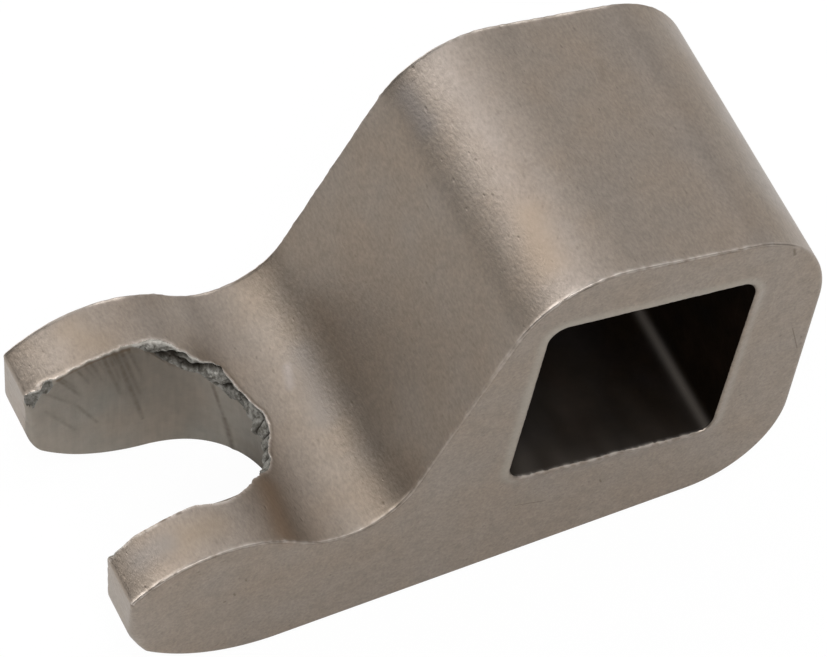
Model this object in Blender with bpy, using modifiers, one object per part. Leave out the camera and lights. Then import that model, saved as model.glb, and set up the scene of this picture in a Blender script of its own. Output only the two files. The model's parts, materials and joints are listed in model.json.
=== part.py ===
"""Clutch release finger: one steel piece, a square bore through its hub and a two-pronged fork.

The finger lies as it comes to rest, on its flat underside. The bore runs along Y, the fork points
to -X and +Z is up. The origin is under the middle of the finger, on the surface that it rests on.
Lengths are in metres and angles in degrees. Side view points are (x, z) from the bore's centre,
and a bearing there is 0 towards the hub's end and 90 upwards.
"""
import bpy
import bmesh
import numpy as np
from math import atan2, ceil, cos, degrees, radians, sin, sqrt, tan
from mathutils import Matrix

NAME = "clutch_release_finger"

# Hub, with its square bore and the walls around it
BODY_WIDTH = 0.01829
BORE_ACROSS = 0.0127
BORE_CORNER_RADIUS = 0.0009
BORE_TILT = 9.65
BORE_HEIGHT = 0.01266
TOP_WALL = 0.00368
END_WALL = 0.00481
SLANT_WALL = 0.00363
TOP_SLOPE = 12.9
END_LEAN = 8.2
SLANT_ANGLE = 60.8
HUB_CORNER_RADIUS = 0.0063
HEEL_RADIUS = 0.0062

# Raised lip round the bore's near mouth
LIP_WIDTH = 0.0010
LIP_CREST = 0.00025
LIP_HEIGHT = 0.00012

# Arm, from the hollow below the slant to the crowned nose of the fork
HOLLOW_RADIUS = 0.00464
HOLLOW_HEIGHT = 0.00749
CROWN_RADIUS = 0.0080
CROWN_RISE = 0.00262
NOSE_LENGTH = 0.0052
RELIEF_LENGTH = 0.00883
RELIEF_RISE = 0.00389
NOSE_TOP_ROUND = 0.0005
NOSE_BOTTOM_ROUND = 0.0028

# Fork slot, punched upwards through the arm: straight sides and a round end that leans back
PRONG_THICKNESS = 0.00349
SLOT_DEPTH = 0.0127
SLOT_LEAN = 6.0

# How the slot's end swells past its round, as bearings in plan and shares of SLOT_SWELL: a corner
# where the far side ends, and a flare where the near side starts
SLOT_SWELL = 0.0003
SWELL_BEARINGS = [76.0, 69.0, -60.0, -75.0, -86.0, -96.0]
SWELL_SHARES = [0.6, 0.0, 0.0, 1.0, 1.0, 0.15]

# Torn band along the slot's upper rim: its stations, the rows of facets up its height, how uneven
# the rows are, and how far the facets bite into the wall, the shallowest as a share of the deepest
TEAR_DEPTH = 0.0018
TEAR_REACH = 0.0007
TEAR_GRAIN = 0.00016
TEAR_BITE = 0.00045
TEAR_LEDGE = 0.15
TEAR_ROWS = 6
TEAR_SEED = 7
RIM_STEP = 0.00042
RIM_CLEARANCE = 0.0005

# Where the rim is torn: place along it (0 the far nose, 1 to 2 the round end, 3 the near nose),
# reach outward as a share of TEAR_REACH and depth as a share of TEAR_DEPTH, whole below zero
TEAR_SHARES = [
    (0.00, 1.00, 0.95), (0.08, 0.55, 0.70), (0.17, 0.05, 0.25), (0.22, 0.45, 0.40), (0.34, 0.35, 0.35),
    (0.40, 0.05, -0.2), (0.96, 0.00, -0.2), (1.00, 0.30, 0.50), (1.04, 0.35, 0.80), (1.08, -0.20, 0.95),
    (1.16, -0.40, 0.90), (1.20, 0.10, 1.00), (1.25, -0.20, 1.10), (1.35, -0.60, 1.00), (1.42, -0.35, 1.00),
    (1.50, -0.35, 0.95), (1.60, -0.55, 0.95), (1.66, -0.15, 0.90), (1.72, -0.25, 0.75), (1.78, -0.05, 0.20),
    (1.82, 0.05, -0.2), (2.75, 0.00, -0.2), (2.86, 0.25, 0.20), (3.00, 0.45, 0.45),
]

# Edges of the two sides: crisp along the top and round the nose, soft along the bottom and the
# hub's end. At these bearings of the walls the edge is soft, crisp, crisp and soft again.
SOFT_EDGE = 0.00035
CRISP_EDGE = 0.00012
EDGE_BEARINGS = [0.0, 50.0, 220.0, 262.0]
EDGE_SEGMENTS = 3

# How far the cutters run past the faces that they cut
OVERRUN = 0.0020
WELD_DISTANCE = CRISP_EDGE / 100

# Fineness of the round stretches, and the angle from which an edge shows sharp
ARC_STEP = 5.0
SHARP_ANGLE = 28.0
QUARTER_TURN = 90.0
HALF_TURN = 180.0

STEEL_COLOUR = (0.245, 0.208, 0.172, 1.0)
STEEL_ROUGHNESS = 0.45
STEEL_METALLIC = 0.9


def unit(angle):
    """The direction at a bearing."""
    return np.array([cos(radians(angle)), sin(radians(angle))])


def bearing(vector):
    """The bearing of a direction."""
    return degrees(atan2(vector[1], vector[0]))


def arc(centre, radius, start, end):
    """Points along an arc between two bearings, both ends included."""
    steps = max(2, ceil(abs(end - start) / ARC_STEP))
    return [centre + radius * unit(angle) for angle in np.linspace(start, end, steps + 1)]


def tangent_centre(wall_a, wall_b, radius):
    """Centre of the round between two walls, each given as (bearing of its normal, distance)."""
    normals = np.array([unit(wall_a[0]), unit(wall_b[0])])
    return np.linalg.solve(normals, np.array([wall_a[1] - radius, wall_b[1] - radius]))


# Walls round the bore, as the bearing of their outward normal and their distance from its centre
TOP = (QUARTER_TURN - TOP_SLOPE, BORE_ACROSS / 2 + TOP_WALL)
END = (-END_LEAN, BORE_ACROSS / 2 + END_WALL)
SLANT = (QUARTER_TURN + SLANT_ANGLE, BORE_ACROSS / 2 + SLANT_WALL)
BOTTOM = (-QUARTER_TURN, BORE_HEIGHT)

# Centres of the hub's rounds
BROW_CENTRE = tangent_centre(SLANT, TOP, HUB_CORNER_RADIUS)
CREST_CENTRE = tangent_centre(TOP, END, HUB_CORNER_RADIUS)
HEEL_CENTRE = tangent_centre(END, BOTTOM, HEEL_RADIUS)


def hollow_centre():
    """Centre of the concave round that runs off the slant and bottoms out at HOLLOW_HEIGHT."""
    z = HOLLOW_HEIGHT - BORE_HEIGHT + HOLLOW_RADIUS
    normal = unit(SLANT[0])
    return np.array([(SLANT[1] + HOLLOW_RADIUS - normal[1] * z) / normal[0], z])


def crown_centre():
    """Centre of the fork's crown, which touches the hollow's round and stands CROWN_RISE above it."""
    apart = CROWN_RADIUS + HOLLOW_RADIUS
    drop = apart - CROWN_RISE
    return hollow_centre() - np.array([sqrt(apart ** 2 - drop ** 2), drop])


HOLLOW_CENTRE = hollow_centre()
CROWN_CENTRE = crown_centre()
NOSE_X = CROWN_CENTRE[0] - NOSE_LENGTH

# The relief under the fork's nose is one arc that rises RELIEF_RISE over RELIEF_LENGTH
RELIEF_RADIUS = (RELIEF_LENGTH ** 2 + RELIEF_RISE ** 2) / (2 * RELIEF_RISE)
RELIEF_CENTRE = np.array([NOSE_X + RELIEF_LENGTH, RELIEF_RADIUS - BORE_HEIGHT])

# The slot's sides and the length from the nose to where its round begins, at the bottom
SLOT_RADIUS = BODY_WIDTH / 2 - PRONG_THICKNESS
SIDE_LENGTH = SLOT_DEPTH - SLOT_RADIUS

# From the bore's centre to the frame's origin, and the depths of both sides
X_SHIFT = -(NOSE_X + CREST_CENTRE[0] + HUB_CORNER_RADIUS) / 2
SLOT_Y = LIP_HEIGHT / 2
NEAR_Y = SLOT_Y - BODY_WIDTH / 2
FAR_Y = SLOT_Y + BODY_WIDTH / 2


def nose_round(centre, radius, round_radius, way):
    """Centre of a round between an arc and the nose's face, above (1) or below (-1) the arc's centre."""
    x = NOSE_X + round_radius
    rise = sqrt((radius - round_radius) ** 2 - (x - centre[0]) ** 2)
    return np.array([x, centre[1] + way * rise])


def upper_outline():
    """The side view's upper edge, from the nose over the crown, the hollow and the hub to its crest."""
    nose = nose_round(CROWN_CENTRE, CROWN_RADIUS, NOSE_TOP_ROUND, 1)
    nose_end = bearing(nose - CROWN_CENTRE)
    joint = bearing(HOLLOW_CENTRE - CROWN_CENTRE)
    points = arc(nose, NOSE_TOP_ROUND, HALF_TURN, nose_end)
    points += arc(CROWN_CENTRE, CROWN_RADIUS, nose_end, joint)[1:]
    points += arc(HOLLOW_CENTRE, HOLLOW_RADIUS, joint + HALF_TURN, SLANT[0] + HALF_TURN)[1:]
    points += arc(BROW_CENTRE, HUB_CORNER_RADIUS, SLANT[0], TOP[0])
    points += arc(CREST_CENTRE, HUB_CORNER_RADIUS, TOP[0], 0.0)
    return points


def lower_outline():
    """The side view's lower edge, from the hub's crest down its end and along the bottom to the nose."""
    nose = nose_round(RELIEF_CENTRE, RELIEF_RADIUS, NOSE_BOTTOM_ROUND, -1)
    nose_start = bearing(nose - RELIEF_CENTRE)
    points = arc(CREST_CENTRE, HUB_CORNER_RADIUS, 0.0, END[0])[1:]
    points += arc(HEEL_CENTRE, HEEL_RADIUS, END[0], BOTTOM[0])
    points += arc(RELIEF_CENTRE, RELIEF_RADIUS, BOTTOM[0], nose_start)
    points += arc(nose, NOSE_BOTTOM_ROUND, nose_start, -HALF_TURN)[1:]
    return points


def square_outline(across, corner_radius):
    """The side view of a square about the bore's centre, at the bore's tilt, with round corners."""
    reach = across / 2 - corner_radius
    points = []
    for quarter in range(4):
        start = quarter * QUARTER_TURN - BORE_TILT
        corner = reach * (unit(start) + unit(start + QUARTER_TURN))
        points += arc(corner, corner_radius, start, start + QUARTER_TURN)
    return points


def standing(outline, y):
    """A side view outline as points in the finger's own frame, at a depth y."""
    return [(x + X_SHIFT, y, z + BORE_HEIGHT) for x, z in outline]


def add_object(name, mesh, collection):
    solid = bpy.data.objects.new(name, mesh)
    collection.objects.link(solid)
    return solid


def slab(name, outline, y_low, y_high, collection):
    """A slab between two depths: the side view outline as a flat filled curve, extruded."""
    curve = bpy.data.curves.new(name, "CURVE")
    curve.dimensions = "2D"
    curve.fill_mode = "BOTH"
    curve.extrude = (y_high - y_low) / 2
    spline = curve.splines.new("POLY")
    spline.points.add(len(outline) - 1)
    for spline_point, (x, z) in zip(spline.points, outline):
        spline_point.co = (x + X_SHIFT, z + BORE_HEIGHT, 0.0, 1.0)
    spline.use_cyclic_u = True
    flat = add_object(name + "_outline", curve, collection)
    stand_up = Matrix.Rotation(radians(QUARTER_TURN), 4, "X")
    flat.matrix_world = Matrix.Translation((0.0, (y_low + y_high) / 2, 0.0)) @ stand_up
    bpy.context.view_layer.update()
    evaluated = flat.evaluated_get(bpy.context.evaluated_depsgraph_get())
    mesh = bpy.data.meshes.new_from_object(evaluated)
    mesh.name = name
    mesh.transform(flat.matrix_world)
    bpy.data.objects.remove(flat)
    weld(mesh)
    return add_object(name, mesh, collection)


def weld(mesh):
    """Join a curve's loose caps to its sides, and make each flat cap one face."""
    shell = bmesh.new()
    shell.from_mesh(mesh)
    bmesh.ops.remove_doubles(shell, verts=shell.verts, dist=WELD_DISTANCE)
    for way in (-1, 1):
        cap = [face for face in shell.faces if face.normal.y * way > cos(radians(ARC_STEP))]
        bmesh.ops.dissolve_faces(shell, faces=cap)
    bmesh.ops.recalc_face_normals(shell, faces=shell.faces)
    shell.to_mesh(mesh)
    shell.free()


def loft(name, rings, collection):
    """A closed solid through a stack of rings that have as many points each."""
    shell = bmesh.new()
    loops = [[shell.verts.new(point) for point in ring] for ring in rings]
    count = len(rings[0])
    for low, high in zip(loops, loops[1:]):
        for i in range(count):
            j = (i + 1) % count
            shell.faces.new((low[i], low[j], high[j], high[i]))
    shell.faces.new(loops[0])
    shell.faces.new(loops[-1])
    bmesh.ops.recalc_face_normals(shell, faces=shell.faces)
    mesh = bpy.data.meshes.new(name)
    shell.to_mesh(mesh)
    shell.free()
    return add_object(name, mesh, collection)


def weight_edges(mesh):
    """Give both sides' edges their bevel weights, by where the faces between them look."""
    shell = bmesh.new()
    shell.from_mesh(mesh)
    weights = shell.edges.layers.float.new("bevel_weight_edge")
    crisp = CRISP_EDGE / SOFT_EDGE
    for edge in shell.edges:
        walls = [face.normal for face in edge.link_faces if abs(face.normal.y) < sin(radians(ARC_STEP))]
        if len(walls) == 1:
            looks = bearing((walls[0].x, walls[0].z)) % (2 * HALF_TURN)
            edge[weights] = np.interp(looks, EDGE_BEARINGS, [1.0, crisp, crisp, 1.0])
    shell.to_mesh(mesh)
    shell.free()


def rim_places():
    """Places along the slot's rim, one every RIM_STEP, from past the far nose to past the near one."""
    overrun = OVERRUN / SIDE_LENGTH
    straight = ceil((SIDE_LENGTH + OVERRUN) / RIM_STEP)
    around = ceil(radians(SWELL_BEARINGS[0] - SWELL_BEARINGS[-1]) * SLOT_RADIUS / RIM_STEP)
    far = np.linspace(-overrun, 1.0, straight, endpoint=False)
    near = np.linspace(2.0, 3.0 + overrun, straight + 1)
    return [*far, *np.linspace(1.0, 2.0, around), *near[1:]]


def wall_point(place, z):
    """Where the plain slot wall is at a place along the rim and a height, and its outward way."""
    angle = np.interp(place, [1.0, 2.0], [SWELL_BEARINGS[0], SWELL_BEARINGS[-1]])
    swell = SLOT_SWELL * np.interp(-angle, [-turn for turn in SWELL_BEARINGS], SWELL_SHARES)
    nose = NOSE_X + X_SHIFT
    centre = np.array([nose + SIDE_LENGTH - z * tan(radians(SLOT_LEAN)), 0.0])
    point = centre + (SLOT_RADIUS + swell) * unit(angle)
    if place < 1.0:
        return np.array([nose + (point[0] - nose) * place, SLOT_RADIUS]), unit(QUARTER_TURN)
    if place > 2.0:
        return np.array([point[0] + (nose - point[0]) * (place - 2.0), -SLOT_RADIUS]), unit(-QUARTER_TURN)
    return point, unit(angle)


def rim_height(x):
    """Height of the arm's upper face at an x of the finger's own frame."""
    outline = standing(upper_outline(), 0.0)
    return np.interp(x, [point[0] for point in outline], [point[2] for point in outline])


def slot_rings():
    """Rings of the slot cutter: below the bottom, the rows of the torn band, and above the rim."""
    places = rim_places()
    table = np.array(TEAR_SHARES)
    reaches = TEAR_REACH * np.interp(places, table[:, 0], table[:, 1])
    depths = TEAR_DEPTH * np.interp(places, table[:, 0], table[:, 2])
    tops = [rim_height(wall_point(place, HOLLOW_HEIGHT)[0][0]) for place in places]
    jitter = np.random.default_rng(TEAR_SEED).uniform(-1, 1, (TEAR_ROWS, len(places), 2))
    rough = np.clip(depths / TEAR_DEPTH, 0.0, 1.0)
    rings = [slot_ring(places, np.full(len(places), -OVERRUN), np.zeros(len(places)))]
    for row in range(TEAR_ROWS):
        up = row / (TEAR_ROWS - 1)
        heights = tops - depths + (depths + RIM_CLEARANCE) * up + TEAR_GRAIN * jitter[row, :, 0] * rough
        bite = TEAR_BITE * np.interp(jitter[row, :, 1], [-1, 1], [TEAR_LEDGE, 1]) * rough * min(1, row)
        outward = reaches * up + bite
        rings.append(slot_ring(places, heights, outward))
    rings.append(slot_ring(places, heights + OVERRUN, outward))
    return rings


def slot_ring(places, heights, outward):
    """One ring round the slot's wall, at a height and a reach outward for each place."""
    ring = []
    for place, z, reach in zip(places, heights, outward):
        point, way = wall_point(place, z)
        x, y = point + way * reach
        ring.append((x, y + SLOT_Y, z))
    return ring


def cut_or_join(solid, tool, operation):
    """Join a tool to the solid or cut it away, and show the tool as wire only."""
    modifier = solid.modifiers.new(tool.name, "BOOLEAN")
    modifier.operation = operation
    modifier.solver = "EXACT"
    modifier.object = tool
    tool.hide_render = True
    tool.display_type = "WIRE"


def soften_edges(solid):
    """Round both sides' edges, each as wide as its weight says."""
    weight_edges(solid.data)
    modifier = solid.modifiers.new("side_edges", "BEVEL")
    modifier.limit_method = "WEIGHT"
    modifier.offset_type = "OFFSET"
    modifier.width = SOFT_EDGE
    modifier.segments = EDGE_SEGMENTS
    modifier.use_clamp_overlap = False


def settle(solid):
    """Take over the cut mesh as the solid's own, shaded smooth up to its sharp edges."""
    bpy.context.view_layer.update()
    evaluated = solid.evaluated_get(bpy.context.evaluated_depsgraph_get())
    mesh = bpy.data.meshes.new_from_object(evaluated)
    solid.modifiers.clear()
    solid.data = mesh
    mesh.name = solid.name
    mesh.shade_smooth()
    mesh.set_sharp_from_angle(angle=radians(SHARP_ANGLE))


def steel():
    """Blasted steel with a warm grey-brown bloom."""
    material = bpy.data.materials.new("blasted_steel")
    material.use_nodes = True
    shader = material.node_tree.nodes["Principled BSDF"]
    shader.inputs["Base Color"].default_value = STEEL_COLOUR
    shader.inputs["Roughness"].default_value = STEEL_ROUGHNESS
    shader.inputs["Metallic"].default_value = STEEL_METALLIC
    material.diffuse_color = STEEL_COLOUR
    return material


def make_collection(name):
    collection = bpy.data.collections.new(name)
    bpy.context.scene.collection.children.link(collection)
    return collection


def build_finger(part, cutters):
    """The side profile with its edges, then the lip, the square bore and the torn fork slot."""
    finger = slab("release_finger", upper_outline() + lower_outline(), NEAR_Y, FAR_Y, part)
    soften_edges(finger)

    lip_base = square_outline(BORE_ACROSS + 2 * LIP_WIDTH, BORE_CORNER_RADIUS + LIP_WIDTH)
    lip_crest = square_outline(BORE_ACROSS + 2 * LIP_CREST, BORE_CORNER_RADIUS + LIP_CREST)
    lip_rings = [
        standing(lip_base, NEAR_Y + LIP_WIDTH),
        standing(lip_base, NEAR_Y),
        standing(lip_crest, NEAR_Y - LIP_HEIGHT),
    ]
    cut_or_join(finger, loft("bore_lip", lip_rings, cutters), "UNION")

    bore = square_outline(BORE_ACROSS, BORE_CORNER_RADIUS)
    cut_or_join(finger, slab("square_bore", bore, NEAR_Y - OVERRUN, FAR_Y + OVERRUN, cutters), "DIFFERENCE")
    cut_or_join(finger, loft("fork_slot", slot_rings(), cutters), "DIFFERENCE")
    settle(finger)
    finger.data.materials.append(steel())


for old in list(bpy.data.objects):
    bpy.data.objects.remove(old)
build_finger(make_collection(NAME), make_collection("cutters"))
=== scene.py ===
# %% [markdown]
# # A clutch release finger
#
# The finger is one piece of steel. A square hole in its hub sits on the operating shaft, and its fork
# pushes the release bearing. The blank is drawn as one long bar with the finger's side view as its
# section, sliced, pierced for the shaft, punched for the fork and then blasted. The mesh is made in the
# same order: a long tube with the side view as its section, a square hole, and a punch taken out of it.
#
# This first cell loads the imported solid. It gives the frame, and its box is the size to keep to.

# %% Load the frame
import json
from math import atan2, ceil, cos, degrees, exp, hypot, radians, sin, sqrt, tan

import bmesh
import bpy
import numpy as np
from mathutils import Matrix, Vector, kdtree, noise

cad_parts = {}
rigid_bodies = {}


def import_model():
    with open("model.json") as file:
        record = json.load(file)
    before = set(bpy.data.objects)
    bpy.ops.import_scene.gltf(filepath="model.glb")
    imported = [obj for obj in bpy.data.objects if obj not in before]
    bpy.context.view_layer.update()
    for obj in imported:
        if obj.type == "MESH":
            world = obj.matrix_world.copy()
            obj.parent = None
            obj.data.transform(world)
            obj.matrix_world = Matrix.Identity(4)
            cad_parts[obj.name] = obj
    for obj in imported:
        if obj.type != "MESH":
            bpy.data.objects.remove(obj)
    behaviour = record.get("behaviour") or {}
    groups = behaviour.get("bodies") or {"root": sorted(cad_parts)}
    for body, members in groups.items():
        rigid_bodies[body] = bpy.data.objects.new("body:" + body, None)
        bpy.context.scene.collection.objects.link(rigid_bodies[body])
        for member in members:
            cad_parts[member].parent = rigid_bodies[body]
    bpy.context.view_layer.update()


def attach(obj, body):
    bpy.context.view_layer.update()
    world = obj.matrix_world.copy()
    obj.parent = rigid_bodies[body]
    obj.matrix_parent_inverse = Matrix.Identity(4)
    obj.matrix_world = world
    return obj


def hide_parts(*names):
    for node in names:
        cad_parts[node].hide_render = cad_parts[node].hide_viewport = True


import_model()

# %% [markdown]
# The camera comes first, because every later choice is judged through it. It stands where the
# photographer stood: in front of the finger, well above it and a little to its left, with a long lens.
# Its place was found from the edges of the square hole, and is given in millimetres from the middle of
# that hole. A camera in Blender looks along its own -Z, so its three columns are right, up and back.

# %% Camera
MILLIMETRE = 0.001
BORE_CENTRE = Vector((9.1813, 0.06, 12.66)) * MILLIMETRE
CAMERA_FROM_BORE = Vector((-113.48, -210.29, 317.88)) * MILLIMETRE
LOOK = Vector((0.26339, 0.53024, -0.80590))
RIGHT = Vector((0.91062, -0.41242, 0.02626))
LENS_ON_36_MM = 310.63

camera_data = bpy.data.cameras.new("photo_camera")
camera_data.sensor_width = 36.0
camera_data.lens = LENS_ON_36_MM
camera = bpy.data.objects.new("photo_camera", camera_data)
bpy.context.scene.collection.objects.link(camera)
turn = Matrix((RIGHT, RIGHT.cross(LOOK), -LOOK)).transposed()
camera.matrix_world = Matrix.Translation(BORE_CENTRE + CAMERA_FROM_BORE) @ turn.to_4x4()
bpy.context.scene.camera = camera
print("camera at", tuple(round(value, 4) for value in camera.location))

# %% [markdown]
# The side view is a run of arcs and straight lines that touch each other. These are its sizes in
# millimetres, with x and z counted from the middle of the square hole. A bearing is an angle in that
# view: 0 points to the hub's end and 90 points up.

# %% Sizes of the side view
BORE = 12.7
BORE_TILT = 9.65
BORE_HEIGHT = 12.66
WIDTH = 18.37
HUB_ROUND = 6.3
HEEL_ROUND = 6.2
HOLLOW_ROUND = 4.64
HOLLOW_HEIGHT = 7.49
CROWN_ROUND = 8.0
CROWN_RISE = 2.62
NOSE_LENGTH = 5.2
RELIEF_LENGTH = 8.83
RELIEF_RISE = 3.89
NOSE_TOP_ROUND = 0.5
NOSE_BOTTOM_ROUND = 2.8
TOP = (77.1, BORE / 2 + 3.68)
END = (-8.2, BORE / 2 + 4.785)
SLANT = (150.8, BORE / 2 + 3.63)
BOTTOM = (-90.0, BORE_HEIGHT)


def unit(bearing):
    """The direction at a bearing, as a flat vector."""
    return Vector((cos(radians(bearing)), sin(radians(bearing))))


def bearing_of(vector):
    return degrees(atan2(vector[1], vector[0]))


def corner_centre(wall_a, wall_b, radius):
    """Centre of the round that touches two walls from inside."""
    normals = np.array([unit(wall_a[0]), unit(wall_b[0])])
    x, z = np.linalg.solve(normals, [wall_a[1] - radius, wall_b[1] - radius])
    return Vector((x, z))


BROW = corner_centre(SLANT, TOP, HUB_ROUND)
CREST = corner_centre(TOP, END, HUB_ROUND)
HEEL = corner_centre(END, BOTTOM, HEEL_ROUND)
hollow_z = HOLLOW_HEIGHT - BORE_HEIGHT + HOLLOW_ROUND
slant_way = unit(SLANT[0])
HOLLOW = Vector(((SLANT[1] + HOLLOW_ROUND - slant_way.y * hollow_z) / slant_way.x, hollow_z))
apart = CROWN_ROUND + HOLLOW_ROUND
CROWN = HOLLOW - Vector((sqrt(apart ** 2 - (apart - CROWN_RISE) ** 2), apart - CROWN_RISE))
NOSE_X = CROWN.x - NOSE_LENGTH
RELIEF_ROUND = (RELIEF_LENGTH ** 2 + RELIEF_RISE ** 2) / (2 * RELIEF_RISE)
RELIEF = Vector((NOSE_X + RELIEF_LENGTH, RELIEF_ROUND - BORE_HEIGHT))


def nose_round(centre, radius, small, way):
    """Centre of a small round between an arc and the nose's flat end."""
    x = NOSE_X + small
    return Vector((x, centre.y + way * sqrt((radius - small) ** 2 - (x - centre.x) ** 2)))


NOSE_TOP = nose_round(CROWN, CROWN_ROUND, NOSE_TOP_ROUND, 1)
NOSE_BOTTOM = nose_round(RELIEF, RELIEF_ROUND, NOSE_BOTTOM_ROUND, -1)
print("nose at", round(NOSE_X, 3), "crown centre", tuple(CROWN), "hollow centre", tuple(HOLLOW))

# %% [markdown]
# Blender can draw with a single point. Spin carries it round a centre and leaves an arc of edges behind,
# and extrude with a move leaves a straight line. Two small helpers do that, and the whole outline is
# then a list of strokes, as with a pen that never leaves the paper.

# %% Pen strokes
def spin_stroke(shell, point, centre, degrees_round, step, up=(0, -1, 0)):
    """Carry a point round a centre; gives back the point at the arc's end."""
    pivot = Vector((centre[0], 0, centre[1])) if up[1] else Vector((centre[0], centre[1], 0))
    radius = (point.co - pivot).length
    steps = max(2, ceil(abs(radians(degrees_round)) * radius / step))
    swept = bmesh.ops.spin(shell, geom=[point], cent=pivot, axis=up, angle=radians(degrees_round), steps=steps)
    return [item for item in swept["geom_last"] if isinstance(item, bmesh.types.BMVert)][0]


def line_stroke(shell, point, end, step):
    """Carry a point straight to a place in even steps."""
    way = Vector(end) - point.co
    steps = max(1, ceil(way.length / step))
    for _ in range(steps):
        point = bmesh.ops.extrude_vert_indiv(shell, verts=[point])["verts"][0]
        bmesh.ops.translate(shell, vec=way / steps, verts=[point])
    return point


def on_arc(centre, radius, bearing):
    """The place on an arc at a bearing, standing in the side view."""
    flat = centre + radius * unit(bearing)
    return Vector((flat.x, 0, flat.y))


# %% Outline of the finger
STEP = 0.3
WELD = 0.005


def draw_outline(shell):
    pen = shell.verts.new(on_arc(NOSE_TOP, NOSE_TOP_ROUND, 180))
    onto_crown = bearing_of(NOSE_TOP - CROWN)
    joint = bearing_of(HOLLOW - CROWN)
    onto_relief = bearing_of(NOSE_BOTTOM - RELIEF)
    pen = spin_stroke(shell, pen, NOSE_TOP, onto_crown - 180, STEP / 3)
    pen = spin_stroke(shell, pen, CROWN, joint - onto_crown, STEP)
    pen = spin_stroke(shell, pen, HOLLOW, SLANT[0] - joint, STEP)
    pen = line_stroke(shell, pen, on_arc(BROW, HUB_ROUND, SLANT[0]), STEP)
    pen = spin_stroke(shell, pen, BROW, TOP[0] - SLANT[0], STEP)
    pen = line_stroke(shell, pen, on_arc(CREST, HUB_ROUND, TOP[0]), STEP)
    pen = spin_stroke(shell, pen, CREST, END[0] - TOP[0], STEP)
    pen = line_stroke(shell, pen, on_arc(HEEL, HEEL_ROUND, END[0]), STEP)
    pen = spin_stroke(shell, pen, HEEL, BOTTOM[0] - END[0], STEP)
    pen = line_stroke(shell, pen, on_arc(RELIEF, RELIEF_ROUND, BOTTOM[0]), STEP)
    pen = spin_stroke(shell, pen, RELIEF, onto_relief - BOTTOM[0], STEP)
    pen = spin_stroke(shell, pen, NOSE_BOTTOM, -180 - onto_relief, STEP / 3)
    line_stroke(shell, pen, on_arc(NOSE_TOP, NOSE_TOP_ROUND, 180), STEP)
    bmesh.ops.remove_doubles(shell, verts=shell.verts, dist=WELD)


# %% [markdown]
# A tube comes from extruding the outline again and again along the finger's width. It is made a little
# too long at both ends, and the spare rows are then folded in over the edge onto the side faces. The
# fold's radius is chosen for each place, so one tube gives a crisp sheared edge along the top and a
# soft, tumbled edge everywhere else.

# %% Tubes and folds
def pull_tube(shell, edges, stations, way):
    """Extrude a loop of edges to each station in turn, along one direction."""
    loop = edges
    for last, station in zip(stations, stations[1:]):
        grown = bmesh.ops.extrude_edge_only(shell, edges=loop)["geom"]
        points = [item for item in grown if isinstance(item, bmesh.types.BMVert)]
        bmesh.ops.translate(shell, vec=(station - last) * way, verts=points)
        loop = [item for item in grown if isinstance(item, bmesh.types.BMEdge)]
    return loop


FOLD_ROWS = [-1.9, -1.7, -1.4, -1.1, -0.8, -0.5, -0.25, 0.0, 0.25, 0.5, 0.8, 1.1, 1.4, 1.7]
FOLD_END = 4.0
FLAT_RING = 0.05


def fold(q, radius):
    """Fold a row's place q over an edge: gives its step outwards and its depth below the side face."""
    stops = [FOLD_ROWS[0], FOLD_ROWS[1], 1.0, FOLD_ROWS[-1], FOLD_END]
    inner = FOLD_ROWS[1] * radius
    d = float(np.interp(q, stops, [inner - FLAT_RING, inner, radius, max(0.30, FOLD_ROWS[-1] * radius), FOLD_END]))
    if q > FOLD_END:
        return 0.0, q
    if d >= radius:
        return 0.0, d
    if d <= -radius:
        return d, 0.0
    angle = radians(45 * (1 - d / radius))
    return -radius * (1 - cos(angle)), radius * (1 - sin(angle))


def rows_across(width):
    """Stations of a tube's rows: fine over both edges and even between them."""
    middle = [float(value) for value in np.arange(2.0, width - 1.99, STEP)]
    return FOLD_ROWS + middle + [width - q for q in reversed(FOLD_ROWS)]


# %% [markdown]
# How soft each edge is depends on where its wall looks. A table gives the radius for a few
# bearings round the outline, separately for the near side and the far side. The noise functions in
# mathutils give the same value at the same place every time, so the edge's small burrs never change.
#
# The same helper also keeps marks: how bright the painted glint on a burr is, how dark the painted
# shadow in the groove under it, and the painted light and shade, partly real wear, along the top.
# They are noted with their place, and the materials read them later.

# %% Edge softness and burrs
EDGE_BEARINGS = [-180, -150, -120, -95, -60, -10, 25, 45, 60, 150, 180]
NEAR_EDGE = [0.40, 0.28, 0.24, 0.26, 0.29, 0.34, 0.34, 0.22, 0.10, 0.10, 0.40]
FAR_EDGE = [0.20, 0.25, 0.28, 0.32, 0.34, 0.36, 0.34, 0.20, 0.10, 0.10, 0.20]
TIP_EDGE = ([-8.4, -6.8, -4.6], [0.80, 0.50, 0.18])
BURR_HEIGHT = 0.075
GROOVE_DEPTH = 0.05
# How strong the painted glint on the burr is along x.
BURR_ALONG = ([-30, -20, -13, -9, -5, -2, 6, 9, 11], [0.8, 0.8, 0.45, 0.30, 1.0, 0.9, 0.8, 0.6, 0.1])
# How strong the painted shadow under the burr is along x.
GROOVE_ALONG = ([-30, -20, -13, -6, -5, -1.5, 1, 9, 11], [0.6, 0.7, 0.3, 0.2, 1.0, 1.0, 0.4, 0.3, 0.0])
# Along the top, the table below lightens the crowns and the brow and darkens the hollow: partly real wear, partly
# painted highlight and painted shade.
RUB_ALONG = ([-30, -26, -22, -20, -19, -17.8, -16, -15.3, -14.6, -12.5, -7.5, -5.6, -3.8, -1, 5, 6.9, 8, 9.1, 10],
             [0.0, 0.5, 0.55, 0.0, 0.5, 0.4, 0.1, -0.3, -0.7, -0.4, -0.3, 0.25, 1.0, 0.3, 0.25, 0.6, 0.25, -0.3, 0.2])
MARK_NAMES = ("bright_burr", "dark_groove", "torn_cleft", "drag_line", "rubbed", "lip_polish", "rim_stain")
marks = []


def keep_mark(place, **strengths):
    """Note how strongly a place is marked, for the materials."""
    marks.append((place.copy(), [strengths.get(name, 0.0) for name in MARK_NAMES]))


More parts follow.
